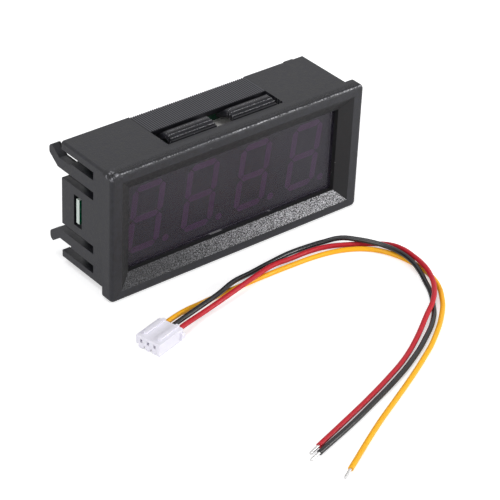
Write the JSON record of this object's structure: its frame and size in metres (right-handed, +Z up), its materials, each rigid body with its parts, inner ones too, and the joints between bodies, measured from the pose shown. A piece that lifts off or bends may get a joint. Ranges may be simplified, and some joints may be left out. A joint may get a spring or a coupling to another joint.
{
  "type": "digital panel meter",
  "caption": "Rectangular LED panel meter with a snap-in plastic case, a smoked window and a loose three-wire lead with a plug.",
  "frame": {"origin": "under the middle of the meter, halfway from the bezel's front to the hooks' ends, on the surface it stands on", "axes": "+X to the right along the display, seen from the front; +Y from the bezel to the open back; +Z up"},
  "size_m": [0.064, 0.0854, 0.0275],
  "materials": {
    "case_plastic": "fine moulded texture",
    "smoked_filter": "polished",
    "display_plastic": "satin",
    "segment_resin": "satin",
    "board_laminate": "solder mask",
    "tinned_metal": "tin plate",
    "connector_nylon": "satin",
    "chip_plastic": "satin",
    "chip_ceramic": "matt",
    "resistor_coat": "satin",
    "trimmer_plastic": "satin",
    "rotor_plastic": "satin",
    "yellow_insulation": "satin PVC",
    "black_insulation": "satin PVC",
    "red_insulation": "satin PVC"
  },
  "bodies": {
    "meter": {"housing": "case_plastic", "filter": "smoked_filter", "display_shell": "display_plastic", "digit_1": "segment_resin", "digit_2": "segment_resin", "digit_3": "segment_resin", "digit_4": "segment_resin", "display_pins": "tinned_metal", "board": "board_laminate", "header_shroud": "connector_nylon", "header_pins": "tinned_metal", "controller": "chip_plastic", "controller_leads": "tinned_metal", "regulator": "chip_plastic", "regulator_leads": "tinned_metal", "diode": "chip_plastic", "capacitor_1": "chip_ceramic", "capacitor_2": "chip_ceramic", "resistor_1": "resistor_coat", "resistor_2": "resistor_coat", "resistor_3": "resistor_coat", "resistor_4": "resistor_coat", "resistor_5": "resistor_coat", "resistor_6": "resistor_coat", "trimmer_body": "trimmer_plastic", "plug_housing": "connector_nylon", "terminal_1": "tinned_metal", "terminal_2": "tinned_metal", "terminal_3": "tinned_metal", "wire_yellow": "yellow_insulation", "wire_black": "black_insulation", "wire_red": "red_insulation", "strands_yellow": "tinned_metal", "strands_black": "tinned_metal", "strands_red": "tinned_metal"},
    "rotor": {"trimmer_rotor": "rotor_plastic"}
  },
  "joints": [
    {"name": "trimmer_turn", "type": "hinge", "parent": "meter", "child": "rotor", "pos_m": [-0.0215, 0.002, 0.01995], "axis": [0, 1, 0], "range_deg": [-120, 120]}
  ]
}
